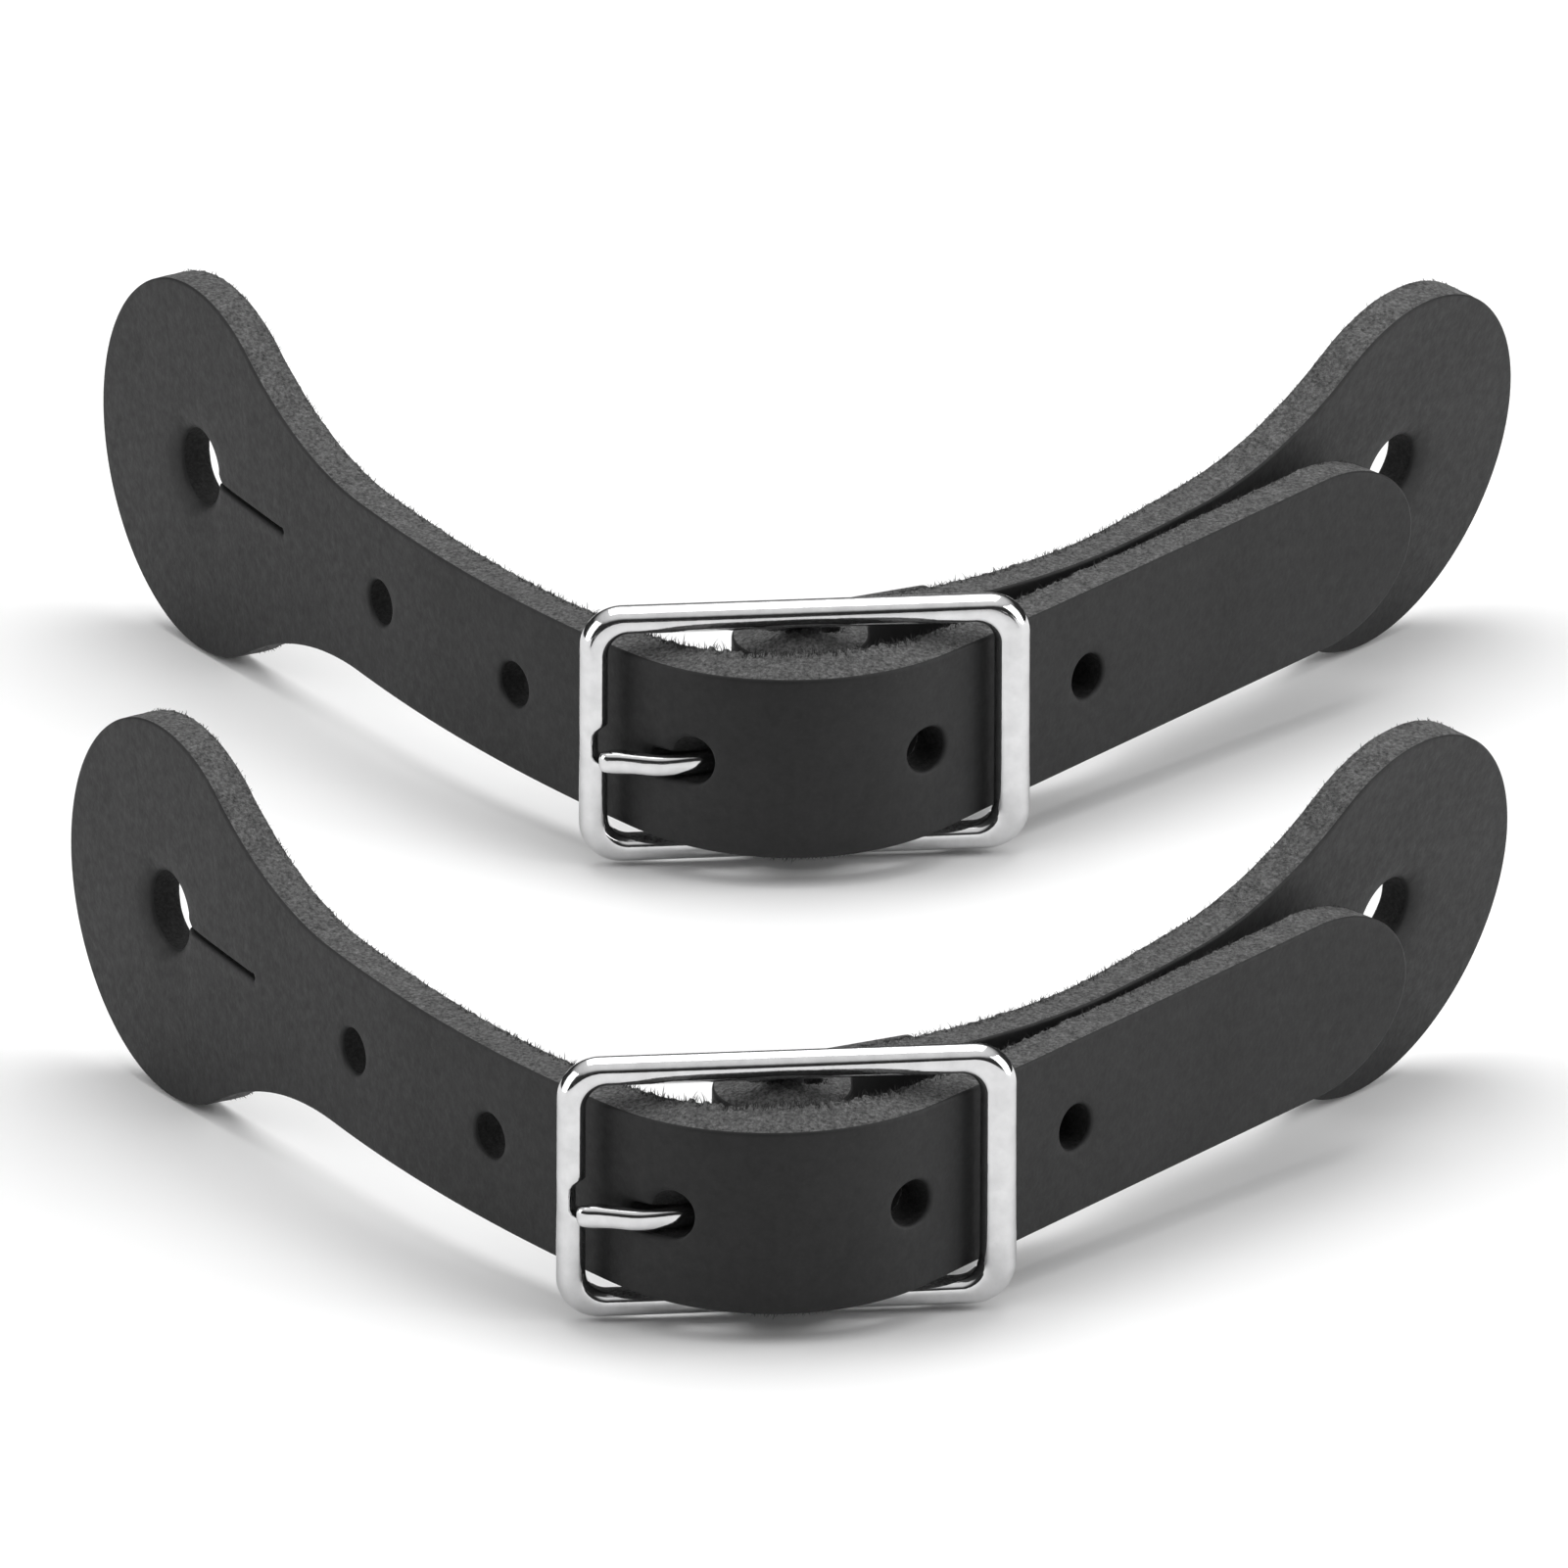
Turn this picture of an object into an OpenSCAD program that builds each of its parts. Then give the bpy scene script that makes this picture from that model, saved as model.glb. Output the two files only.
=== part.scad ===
// A pair of buckled leather spur straps that stand on edge, one behind the other.
// Millimetres. +X right, +Y back, +Z up; the origin is on the floor under the middle of the pair.
// Each strap is drawn about the middle of its buckle, with Z across the strap, and is then
// turned, leaned forward on its edge and set down in its place.
// Along a strap, X is its length, Y runs from the grain face to the flesh face.

/* [Leather] */
// Width of both straps
strap_w = 19.4; // [18:0.2:20]
// Thickness of the leather
leather_t = 4.2; // [3.8:0.1:4.4]
// Thickness of the crowded leather at the front of the fold
fold_t = 5; // [4.6:0.1:5]
// Thickness of the skived leather where the fold ends
skived_t = 2.3; // [2:0.1:2.6]
// Distance between the punched holes
hole_pitch = 25.4; // [25:0.1:26]
// Diameter of the punched holes
hole_d = 4.9; // [4.6:0.1:5.2]

/* [Flared ends] */
// Radius of the round flared ends
flare_r = 20.5; // [20:0.5:21.5]
// Radius of the curve from the strap's edge into the flare
neck_r = 45; // [40:1:50]
// Diameter of the spur button's hole
button_d = 8.4; // [8:0.1:9]
// Diameter of the hole's pressed dish at the grain face
dish_d = 11.4; // [10.5:0.1:12.5]
// Depth of the dish
dish_h = 0.9; // [0.5:0.1:1.5]
// Distance from the button hole's centre to the end of its slit
slit_l = 19.5; // [15:0.5:21]
// Width of the slit
slit_w = 0.5; // [0.4:0.1:0.8]
// Distance from the last punched hole to the button hole
button_reach = 40.6; // [40:0.2:41.6]

/* [Buckle] */
// Outer width of the buckle frame
frame_w = 47.5; // [47:0.1:48]
// Outer height of the buckle frame
frame_h = 29; // [28.5:0.1:30]
// Thickness of the buckle frame
frame_t = 2.6; // [2.4:0.1:2.6]
// Height of the upper and lower rails
rail_h = 3; // [3:0.1:3.2]
// Width of the side bar under the tongue's tip
tip_bar_w = 3; // [2.8:0.1:3]
// Width of the other side bar
far_bar_w = 3.8; // [3.6:0.1:4.2]
// Radius of the frame's outer corners
corner_r = 4.5; // [4:0.1:5]
// Radius of the centre bar
bar_r = 2.2; // [2:0.05:2.2]

/* [Bends] */
// Radius of the bow over the centre bar, at the grain face
bow_r = 21.7; // [21.5:0.1:21.9]
// Turn of the bow towards the flared end
bow_flare_turn = 52.5; // [52:0.5:53]
// Turn of the bow towards the billet's tip
bow_tip_turn = 44; // [44:0.1:44.5]
// Turn of the long gentle bend before the flared end
long_turn = 14; // [12:0.5:15]

/* [Stance] */
// Turn of each strap about the upright
yaw = 5.5; // [4:0.5:7]
// Distance between the two straps, front to back
pair_gap = 147; // [140:1:160]
// How far the front strap stands to the left of the rear one
pair_skew = 1.9; // [0:0.1:4]

/* [Hidden] */
$fn = 64;

leather = "#2b2b2d";
chrome = "#d4d6da";
steel = "#b9bcc2";
slack = 1; // how far a cutter runs past the face it cuts
tall = 2 * flare_r + 4; // height of the leather before its edges are cut
far = 200;
dish_lead = 0.001;
edge_rise = 0.05; // lets one edge cutter run out of another
edge_lap = 0.2;

// The centre bar lies behind the buckle frame's middle plane
bar_at = [-0.3, 3.2];
frame_y = -0.6;
frame_z = 0.7;
frame_right = 23.6;
frame_left = frame_right - frame_w;
inner_corner_r = 2.3;
rest_w = 1; // notch where the tongue's tip rests
rest_h = 3.4;
bar_l = frame_h - 4.8; // the bar ends behind the rails
lug_w = 4; // lugs that carry the bar behind the rails
lug_h = 0.9;
spigot_r = 0.25; // pins of the lugs, let into the rails
spigot_in = 0.3; // from the bar's end to a pin's axis
spigot_l = 1.3;

// The bow's peak, on the grain face
bow_x = -0.7;
bow_peak = -10.2;
neutral_r = bow_r - leather_t / 2;
bow_hole_turn = hole_pitch / 2 / neutral_r * 180 / PI;

// Lengths along the middle of the leather, from the bow's peak
flare_bow_l = neutral_r * radians(bow_flare_turn);
tip_bow_l = neutral_r * radians(bow_tip_turn);
neck_l = sqrt(pow(flare_r + neck_r, 2) - pow(neck_r + strap_w / 2, 2));
button_l = 2.5 * hole_pitch + button_reach;
neck_lead = 1.5; // straight leather before the long strap's neck
long_bend_l = button_l - neck_l - neck_lead - flare_bow_l;
long_bend_r = long_bend_l / radians(long_turn) + leather_t / 2;
billet_l = 91;
tip_l = 14;

// The short strap's loop round the bar; neck_n is how far its neck runs from the loop's centre
loop_x = bar_at[0];
loop_y = bar_at[1];
loop_r = 7.3;
neck_turn = 22.5;
neck_n = 0.8;
turn_back_r = 5;
main_fold_t = 3; // where the fold turns back into the neck
flap_fold_t = 4.4; // on the fold's far side, flap_fold_turn round from its front
flap_fold_turn = 70;
turn_back_x = sqrt(pow(loop_r + turn_back_r, 2) - pow(neck_n - turn_back_r, 2));
turn_back = asin(turn_back_x / (loop_r + turn_back_r));
short_neck_l = 6.6;
short_bend = 22;
short_bend_r = 62;
run_on_l = 14;
run_on_turn = 3.5;
flare_twist = 9;
twist_lead = 0.4;
slice = 0.1;
inset = 0.04;
flap_l = 18.4;
flap_end_t = 0.8;
flap_gap = 0.05;

// The rivet that closes the fold
rivet_x = 3.3;
rivet_r = 1.5;
head_r = 3.2;
head_h = 0.9;
head_gap = 0.1;
seat = leather_t + flap_gap + flap_end_t; // where the cap sits, from the grain face

// The tongue, which lies a little below the middle of the strap
tongue_z = -1.2;
tongue_w = 2.6;
tongue_t = 2.2;
ring_r = 3.6;
ring_gap = 0.06;
tongue_slot = [34.5, 40.5]; // turns of the bow between which the tongue's hole is drawn
slot_half = 1.1;
shank_gap = 0.25;
window_gap = 0.8; // room round the tongue in the fold
window_at = [-9, -6];
window_size = [13.2, 10.5];
tongue_swing = [0, 4, 8];

// Lean that brings the flares and the buckle down to one floor
lean = 5.2;
roll = 0.2;
lift = 14.02;
shift = [-0.04, -38.74];

// ---- Places ----

module stand(side) {
    translate([shift[0] + side * pair_skew / 2, shift[1] + side * pair_gap / 2, lift])
        rotate([lean, roll, 0]) rotate([0, 0, yaw]) children();
}

module rear() { stand(1) children(); }

module front() { stand(-1) children(); }

// ---- Runs of strap, seen from above ----

function radians(degrees) = degrees * PI / 180;

// A pose is [x, y, heading, thickness] on the grain face; a run is a list of
// [length, turn, thickness at its end], and a positive turn is towards the flesh face
function step(p, l, turn, t) = turn == 0
    ? [p[0] + l * cos(p[2]), p[1] + l * sin(p[2]), p[2], t]
    : let (r = l / radians(turn))
        [p[0] + r * (sin(p[2] + turn) - sin(p[2])),
            p[1] - r * (cos(p[2] + turn) - cos(p[2])), p[2] + turn, t];

function poses(run, p, i = 0) = i == len(run)
    ? [p]
    : let (l = run[i][0], turn = run[i][1], t = run[i][2], n = max(1, ceil(abs(turn) / 4)))
        concat([for (k = [0:n - 1]) step(p, l * k / n, turn * k / n, p[3] + (t - p[3]) * k / n)],
            poses(run, step(p, l, turn, t), i + 1));

function grain(run) = [for (p = run) [p[0], p[1]]];
function flesh(run) = [for (p = run) [p[0] - p[3] * sin(p[2]), p[1] + p[3] * cos(p[2])]];
function flip(points) = [for (p = points) [2 * bow_x - p[0], p[1]]];
function back(points) = [for (i = [len(points) - 1:-1:0]) points[i]];
function last(list) = list[len(list) - 1];
// An edge that ends on the centre line, and its mirror image
function both(edge) = concat(edge, rest(back([for (p = edge) [p[0], -p[1]]])));
function rest(list) = [for (i = [1:len(list) - 1]) list[i]];

module at(pose) { translate([pose[0], pose[1], 0]) rotate([0, 0, pose[2]]) children(); }

// A flat outline in X and Z, as deep as the leather
module flat_leather() {
    translate([0, leather_t, 0]) rotate([90, 0, 0]) linear_extrude(leather_t) children();
}

// The same outline as a cutter
module flat_cutter() {
    translate([0, leather_t + slack, 0]) rotate([90, 0, 0]) linear_extrude(leather_t + 2 * slack) children();
}

// A punched hole through the leather at the origin
module punch(r = hole_d / 2) {
    translate([0, -slack, 0]) rotate([-90, 0, 0]) cylinder(r = r, h = leather_t + 2 * slack);
}

// Outline of the flare: the strap's edge, the neck's curve and the round end
function arc(c, r, a0, a1, n) = [for (i = [0:n]) let (a = a0 + (a1 - a0) * i / n) c + r * [cos(a), sin(a)]];
neck_a = asin(neck_l / (flare_r + neck_r));
function flare_edge(rise) = concat(
    [[-slack, strap_w / 2 + rise]],
    arc([0, neck_r + strap_w / 2], neck_r, -90, neck_a - 90, 12),
    rest(arc([neck_l, 0], flare_r, 90 + neck_a, 0, 24))
);
tip_edge = [for (i = [11:-1:0]) [tip_l * cos(7.5 * i), strap_w / 2 * sin(7.5 * i)]];

// What is cut away outside an edge and its mirror image
module waste(edge) {
    near = edge[0][0];
    end = last(edge)[0] + 2 * slack;
    high = tall / 2 + slack;
    flat_cutter() polygon(concat(both(edge), [[near, -high], [end, -high], [end, high], [near, high]]));
}

// The spur button's hole, with its dish and its slit
module button_hole() {
    translate([neck_l, 0, 0]) punch(button_d / 2);
    translate([neck_l, -dish_lead, 0]) rotate([-90, 0, 0])
        cylinder(r1 = dish_d / 2, r2 = button_d / 2, h = dish_h);
    translate([neck_l - slit_l, -slack, -slit_w / 2]) cube([slit_l, leather_t + 2 * slack, slit_w]);
}

// What is cut away above and below the strap on the near side of the neck
module edge_waste() {
    for (z = [strap_w / 2, -tall])
        translate([-far, -far / 2, z]) cube([far - edge_lap, far, tall - strap_w / 2]);
}

// ---- Long strap ----

peak = [bow_x, bow_peak, 0, leather_t];
tip_run = poses([[bow_r * radians(bow_tip_turn), bow_tip_turn, leather_t],
    [billet_l - tip_bow_l + slack, 0, leather_t]], peak);
flare_run = poses([[bow_r * radians(bow_flare_turn), bow_flare_turn, leather_t],
    [long_bend_r * radians(long_turn), long_turn, leather_t],
    [neck_lead + neck_l + flare_r + slack, 0, leather_t]], peak);
bow_tip_end = step(peak, bow_r * radians(bow_tip_turn), bow_tip_turn, leather_t);
bow_flare_end = step(peak, bow_r * radians(bow_flare_turn), bow_flare_turn, leather_t);
long_bend_end = step(bow_flare_end, long_bend_r * radians(long_turn), long_turn, leather_t);
long_neck = step(long_bend_end, neck_lead, 0, leather_t);

module flipped() { translate([bow_x, 0, 0]) mirror([1, 0, 0]) translate([-bow_x, 0, 0]) children(); }

// The pose of a hole on the gentle bend, l along the leather from the bow's peak
function long_bend_pose(l) = let (turn = long_turn * (l - flare_bow_l) / long_bend_l)
    step(bow_flare_end, long_bend_r * radians(turn), turn, leather_t);

// The hole that the tongue has drawn long
module tongue_hole() {
    for (turn = tongue_slot) at(step(peak, bow_r * radians(turn), turn, leather_t)) punch();
    mid_turn = (tongue_slot[0] + tongue_slot[1]) / 2;
    at(step(peak, bow_r * radians(mid_turn), mid_turn, leather_t))
        translate([-slot_half, -slack, -hole_d / 2]) cube([2 * slot_half, leather_t + 2 * slack, hole_d]);
}

module long_strap() {
    plan = concat(back(flip(grain(rest(flare_run)))), grain(tip_run), back(flesh(tip_run)),
        flip(flesh(rest(flare_run))));
    color(leather) difference() {
        translate([0, 0, -tall / 2]) linear_extrude(tall) polygon(plan);
        flipped() at(long_neck) {
            edge_waste();
            waste(flare_edge(edge_rise));
            button_hole();
        }
        at(step(bow_tip_end, billet_l - tip_bow_l - tip_l, 0, leather_t))
            waste(concat([[-slack, strap_w / 2 + edge_rise]], tip_edge));
        at(step(bow_tip_end, 1.5 * hole_pitch - tip_bow_l, 0, leather_t)) punch();
        at(step(peak, bow_r * radians(bow_hole_turn), bow_hole_turn, leather_t)) punch();
        flipped() {
            for (l = [1.5, 2.5] * hole_pitch) at(long_bend_pose(l)) punch();
            tongue_hole();
        }
        for (a = tongue_swing) translate(bar_at) rotate([0, 0, a]) translate(-bar_at) shank_room();
    }
}

// ---- Short strap ----

fold = [loop_x, loop_y - loop_r, 0, fold_t];
main_run = poses([
    [loop_r * radians(neck_turn + turn_back), neck_turn + turn_back, main_fold_t],
    [turn_back_r * radians(turn_back), -turn_back, leather_t],
    [short_neck_l, 0, leather_t],
    [short_bend_r * radians(short_bend), short_bend, leather_t]], fold);
flap_run = poses([
    [loop_r * radians(flap_fold_turn), flap_fold_turn, flap_fold_t],
    [loop_r * radians(180 - neck_turn - flap_fold_turn), 180 - neck_turn - flap_fold_turn, skived_t]], fold);
neck = step(step(fold, loop_r * radians(neck_turn + turn_back), neck_turn + turn_back, main_fold_t),
    turn_back_r * radians(turn_back), -turn_back, leather_t);
short_end = last(main_run);
short_neck = step(short_end, run_on_l, run_on_turn, leather_t);

// A point of the fold: x along the neck and n across it from the loop's centre
function at_fold(x, n) = [loop_x + x * cos(neck_turn) - n * sin(neck_turn),
    loop_y + x * sin(neck_turn) + n * cos(neck_turn)];

module twisted() {
    translate([0, 0, strap_w / 2]) rotate([flare_twist, 0, 0]) translate([0, 0, -strap_w / 2]) children();
}

// A thin slice of the strap at either end of its twisted run
module twist_end(x) {
    translate([x, inset, inset - strap_w / 2])
        cube([slice, leather_t - 2 * inset, strap_w - 2 * inset]);
}

module short_strap() {
    left_grain = [for (p = grain(rest(flap_run))) [2 * loop_x - p[0], p[1]]];
    left_flesh = [for (p = flesh(rest(flap_run))) [2 * loop_x - p[0], p[1]]];
    pared = loop_r - skived_t + flap_gap;
    plan = concat([at_fold(flap_l, pared), at_fold(flap_l, pared + flap_end_t)], back(left_grain),
        grain(main_run), back(flesh(main_run)), left_flesh);
    color(leather) difference() {
        union() {
            translate([0, 0, -strap_w / 2]) linear_extrude(strap_w) polygon(plan);
            hull() {
                at(short_end) twist_end(-twist_lead);
                at(short_neck) twisted() twist_end(twist_lead);
            }
            at(short_neck) twisted() difference() {
                flat_leather() polygon(both(flare_edge(0)));
                button_hole();
            }
        }
        translate([window_at[0], window_at[1], tongue_z - tongue_w / 2 - window_gap])
            cube([window_size[0], window_size[1], tongue_w + 2 * window_gap]);
        translate([bar_at[0], bar_at[1], tongue_z - tongue_w / 2 - window_gap])
            cylinder(r = ring_r + window_gap, h = tongue_w + 2 * window_gap);
        at_rivet() rotate([-90, 0, 0]) {
            translate([0, 0, -slack]) cylinder(r = rivet_r, h = leather_t + skived_t + 2 * slack);
            translate([0, 0, seat]) cylinder(r = head_r + head_gap, h = skived_t);
        }
    }
}

// ---- Buckle ----

function rounded(w, h, r) = concat(
    arc([w - r, r], r, -90, 0, 8), arc([w - r, h - r], r, 0, 90, 8),
    arc([r, h - r], r, 90, 180, 8), arc([r, r], r, 180, 270, 8)
);

module buckle_frame() {
    inner_w = frame_w - tip_bar_w - far_bar_w;
    inner_h = frame_h - 2 * rail_h;
    color(chrome) difference() {
        translate([frame_left, frame_y + frame_t / 2, frame_z - frame_h / 2]) rotate([90, 0, 0])
            linear_extrude(frame_t) difference() {
                polygon(rounded(frame_w, frame_h, corner_r));
                translate([tip_bar_w, rail_h]) polygon(rounded(inner_w, inner_h, inner_corner_r));
            }
        translate([frame_left + tip_bar_w - rest_w, frame_y - frame_t, -rest_h / 2])
            cube([rest_w + slack, 2 * frame_t, rest_h]);
        spigots();
    }
}

module spigots() {
    for (z = [-1, 1] * (bar_l / 2 - spigot_in)) translate([bar_at[0], bar_at[1], frame_z + z])
        rotate([90, 0, 0]) cylinder(r = spigot_r, h = bar_at[1] - frame_y - frame_t / 2 + spigot_l);
}

module centre_bar() {
    frame_back = frame_y + frame_t / 2;
    color(steel) {
        translate([bar_at[0], bar_at[1], frame_z - bar_l / 2]) cylinder(r = bar_r, h = bar_l);
        for (z = [-bar_l / 2, bar_l / 2 - lug_h])
            translate([bar_at[0] - lug_w / 2, frame_back, frame_z + z])
                cube([lug_w, bar_at[1] - frame_back, lug_h]);
        spigots();
    }
}

// The tongue's line, seen from above: off the ring, out through the hole, down on the side bar
tongue_line = [[-2.68, 1.54], [-9.9, -3.5], [-15.6, -4.6], [-20.2, -3.25], [-22.2, -3.2]];

// The corners of a bar of thickness 2 * d along the tongue's line, from point i to point j
function across(i) = let (d = tongue_line[i + 1] - tongue_line[i]) [-d[1], d[0]] / norm(d);
function corner(i, d, i0, i1) = let (a = across(max(i - 1, i0)), b = across(min(i, i1 - 1)))
    tongue_line[i] + d * (a + b) / (1 + a * b);
function shank(d, i0, i1) = concat([for (i = [i0:i1]) corner(i, d, i0, i1)],
    [for (i = [i1:-1:i0]) corner(i, -d, i0, i1)]);

module tongue() {
    color(steel) translate([0, 0, tongue_z - tongue_w / 2]) difference() {
        union() {
            translate(bar_at) cylinder(r = ring_r, h = tongue_w);
            linear_extrude(tongue_w) polygon(shank(tongue_t / 2, 0, len(tongue_line) - 1));
        }
        translate([bar_at[0], bar_at[1], -slack]) cylinder(r = bar_r + ring_gap, h = tongue_w + 2 * slack);
    }
}

// Space in the leather round the tongue's shank
module shank_room() {
    translate([0, 0, tongue_z - tongue_w / 2 - shank_gap]) linear_extrude(tongue_w + 2 * shank_gap)
        difference() {
            polygon(shank(tongue_t / 2 + shank_gap, 0, 3));
            translate(bar_at) circle(r = 2 * ring_r);
        }
}

// ---- Rivet ----

module at_rivet() { at(step(neck, rivet_x, 0, leather_t)) children(); }

module rivet_post() {
    color(steel) at_rivet() rotate([-90, 0, 0]) {
        translate([0, 0, -head_h]) cylinder(r = head_r, h = head_h);
        translate([0, 0, -head_h / 2]) cylinder(r = rivet_r, h = seat + head_h);
    }
}

module rivet_cap() {
    color(steel) at_rivet() rotate([-90, 0, 0]) difference() {
        translate([0, 0, seat]) cylinder(r = head_r, h = head_h);
        cylinder(r = rivet_r, h = seat + head_h / 2);
    }
}

// ---- Nodes ----

rear() long_strap();  // rear_long_strap
rear() short_strap();  // rear_short_strap
rear() buckle_frame();  // rear_buckle_frame
rear() centre_bar();  // rear_centre_bar
rear() tongue();  // rear_tongue
rear() rivet_post();  // rear_rivet_post
rear() rivet_cap();  // rear_rivet_cap
front() long_strap();  // front_long_strap
front() short_strap();  // front_short_strap
front() buckle_frame();  // front_buckle_frame
front() centre_bar();  // front_centre_bar
front() tongue();  // front_tongue
front() rivet_post();  // front_rivet_post
front() rivet_cap();  // front_rivet_cap
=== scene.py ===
"""Pair of leather spur straps: the visual model, its floor, light and camera."""
import math
import random
import bmesh
import bpy
import numpy as np
from mathutils import Matrix, Vector, geometry, noise


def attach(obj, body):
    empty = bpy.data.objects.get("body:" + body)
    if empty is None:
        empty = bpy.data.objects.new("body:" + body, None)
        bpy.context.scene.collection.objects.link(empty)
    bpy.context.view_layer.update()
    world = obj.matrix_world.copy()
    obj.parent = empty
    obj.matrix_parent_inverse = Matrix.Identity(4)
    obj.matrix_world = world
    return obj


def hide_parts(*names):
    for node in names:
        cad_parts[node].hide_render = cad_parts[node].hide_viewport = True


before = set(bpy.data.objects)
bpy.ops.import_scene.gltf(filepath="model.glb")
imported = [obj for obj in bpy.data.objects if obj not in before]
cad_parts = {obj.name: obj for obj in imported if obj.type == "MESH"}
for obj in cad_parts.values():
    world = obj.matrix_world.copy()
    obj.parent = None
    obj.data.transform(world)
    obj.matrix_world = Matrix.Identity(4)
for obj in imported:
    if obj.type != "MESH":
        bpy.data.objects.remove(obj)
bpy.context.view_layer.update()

MM = 0.001

# ---- Sizes, in millimetres and degrees, as in the CAD ----

# Leather: the strap, and how it is pared thinner round the fold
STRAP_W, LEATHER_T, SKIVED_T = 19.4, 4.2, 2.3
FOLD_T, MAIN_FOLD_T, FLAP_FOLD_T, FLAP_FOLD_TURN = 5.0, 3.0, 4.4, 70.0
# Holes, the flared ends, and the button holes with their pressed dish and their slit
PITCH, HOLE_R = 25.4, 2.45
FLARE_R, NECK_R = 20.5, 45.0
BUTTON_R, DISH_W, DISH_H = 4.2, 1.9, 0.9
SLIT_L, SLIT_W = 19.5, 0.5
BUTTON_REACH = 40.6
# Buckle frame and centre bar
FRAME_W, FRAME_H, FRAME_T = 47.5, 29.0, 2.6
RAIL_H, TIP_BAR_W, FAR_BAR_W = 3.0, 3.0, 3.8
CORNER_R, INNER_CORNER_R = 4.5, 2.3
BAR_R = 2.2
FRAME_Y, FRAME_Z, FRAME_RIGHT = -0.6, 0.7, 23.6
REST_W, REST_H, CROWN = 1.0, 3.4, 0.5
# Long strap: the bow over the buckle, the bend before the flare, and the billet
BOW_R, BOW_FLARE_TURN, BOW_TIP_TURN, LONG_TURN = 21.7, 52.5, 44.0, 14.0
BOW_X, BOW_PEAK = -0.7, -10.2
NECK_LEAD, BILLET_L, TIP_L = 1.5, 91.0, 14.0
# Short strap: the fold round the bar, the neck, the bend, the twisted run to the flare, and the flap
LOOP_X, LOOP_Y, LOOP_R, NECK_TURN, NECK_N, TURN_BACK_R = -0.3, 3.2, 7.3, 22.5, 0.8, 5.0
SHORT_NECK_L, SHORT_BEND, SHORT_BEND_R = 6.6, 22.0, 62.0
RUN_ON_L, RUN_ON_TURN, FLARE_TWIST = 14.0, 3.5, 9.0
FLAP_L, FLAP_END_T, FLAP_GAP = 18.4, 0.8, 0.05
# Rivet and tongue
RIVET_X, RIVET_R, HEAD_R, HEAD_H = 3.3, 1.5, 3.2, 0.9
SEAT = LEATHER_T + FLAP_GAP + FLAP_END_T
TONGUE_Z, TONGUE_W, TONGUE_T, RING_R, RING_GAP = -1.2, 2.6, 2.2, 3.6, 0.06
TONGUE_LINE = [(-2.68, 1.54), (-6.3, -1.0), (-9.9, -3.5), (-13.2, -4.3), (-15.8, -4.55), (-18.2, -3.85),
               (-20.2, -3.3), (-22.1, -3.2)]
# How the straps are turned and leaned, and where they stand in the row
YAW, LEAN, ROLL, LIFT = 5.5, 5.2, 0.2, 14.02
SHIFT, PAIR_GAP, PAIR_SKEW = (-0.04, -38.74), 147.0, 1.9

EDGE_STEP = 0.4    # spacing of the points along a cut edge
GRID = 1.3         # spacing of the points inside a face
TABLE_STEP = 0.1                      # spacing of the samples along a strap's line

# How each strap is turned and leaned, from its own frame about its buckle to the row frame
TURN = (Matrix.Rotation(math.radians(ROLL), 4, "Y") @ Matrix.Rotation(math.radians(LEAN), 4, "X")
        @ Matrix.Rotation(math.radians(YAW), 4, "Z"))


def stand(side):
    """Where a strap stands, in metres. side is 1 for the rear strap and -1 for the front one."""
    at = (SHIFT[0] + side * PAIR_SKEW / 2, SHIFT[1] + side * PAIR_GAP / 2, LIFT)
    return Matrix.Translation(Vector(at) * MM)


SIDES = (("rear", 1), ("front", -1))


def ease(f):
    """A smooth step from 0 to 1."""
    return f * f * (3 - 2 * f)


# ---- The line that a strap follows, seen from above ----

def run_table(start, run):
    """Rows of s, x, y, heading, thickness along the middle of the leather, for runs along its grain face."""
    rows = []
    x, y, h, t = start
    s = 0.0
    for length, turn, t_end in run:
        a = math.radians(turn)
        n = max(1, math.ceil(abs(length) / TABLE_STEP))
        for k in range(n + 1):
            f = k / n
            g = h + a * f
            if abs(a) < 1e-9:
                px, py = x + length * f * math.cos(h), y + length * f * math.sin(h)
            else:
                r = length / a
                px, py = x + r * (math.sin(g) - math.sin(h)), y - r * (math.cos(g) - math.cos(h))
            mid = s + f * length - a * f * (t + (t_end - t) * f / 2) / 2
            rows.append((mid, px, py, g, t + (t_end - t) * f))
        s, x, y, h, t = rows[-1]
    return np.array(rows)


def mirrored(rows, about):
    """The same run to the left of x = about, with s counted down."""
    out = rows.copy()
    out[:, 0] *= -1
    out[:, 1] = 2 * about - out[:, 1]
    out[:, 3] *= -1
    return out[::-1]


class Line:
    """A strap's line, evenly sampled and smoothed over sigma millimetres."""

    def __init__(self, rows, sigma):
        s = np.arange(rows[0, 0], rows[-1, 0], TABLE_STEP)
        order = np.argsort(rows[:, 0], kind="stable")
        cols = [np.interp(s, rows[order, 0], rows[order, c]) for c in (1, 2, 3, 4)]
        n = int(4 * sigma / TABLE_STEP)
        kernel = np.exp(-0.5 * (np.arange(-n, n + 1) * TABLE_STEP / sigma) ** 2)
        kernel /= kernel.sum()
        smooth = []
        for c in cols:
            lead = c[0] + (c[1] - c[0]) * np.arange(-n, 0)
            trail = c[-1] + (c[-1] - c[-2]) * np.arange(1, n + 1)
            smooth.append(np.convolve(np.concatenate([lead, c, trail]), kernel, mode="valid"))
        self.s, self.cols = s, smooth

    def at(self, s):
        return [np.interp(s, self.s, c) for c in self.cols]


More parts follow.
